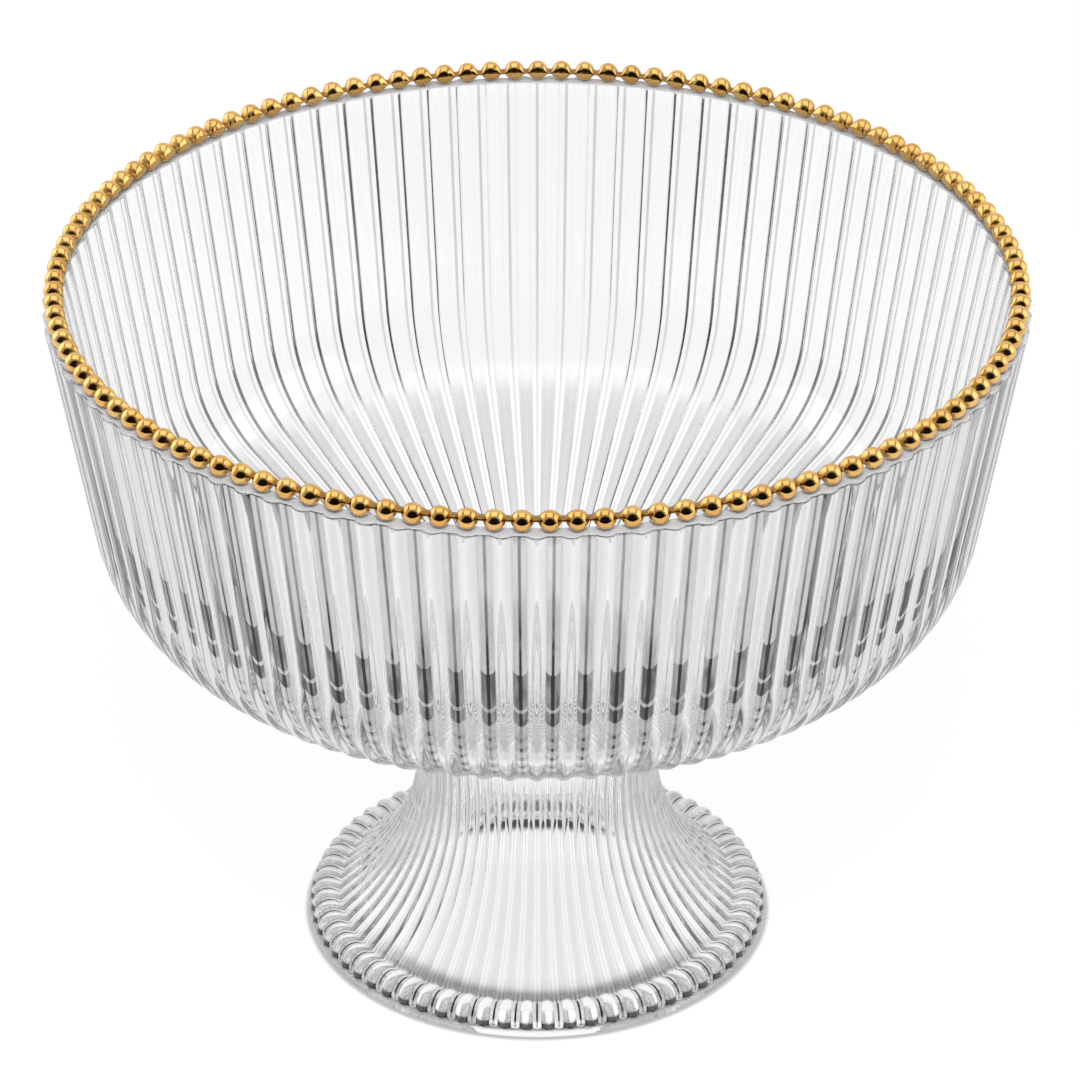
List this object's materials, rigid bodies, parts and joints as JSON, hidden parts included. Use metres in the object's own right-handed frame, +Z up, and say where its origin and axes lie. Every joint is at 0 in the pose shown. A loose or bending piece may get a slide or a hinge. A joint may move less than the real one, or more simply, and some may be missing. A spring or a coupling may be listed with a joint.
{
  "type": "footed salad bowl",
  "caption": "Round clear glass bowl with upright reeds outside, on a flared ribbed glass foot, with a gilt beaded rim; holds salad or fruit on a table.",
  "frame": {"origin": "middle of the base ring, on the surface that the bowl stands on", "axes": "+Z up along the bowl's axis; the bowl is the same from every side"},
  "size_m": [0.231, 0.2309, 0.18],
  "materials": {
    "bowl_glass": "clear pressed glass, fire-polished",
    "foot_glass": "clear pressed glass, fire-polished",
    "bond_adhesive": "clear cured adhesive",
    "gilt": "polished gold plate"
  },
  "bodies": {
    "root": {"bowl": "bowl_glass", "foot": "foot_glass", "foot_bond": "bond_adhesive", "bead_rim": "gilt"}
  },
  "joints": []
}
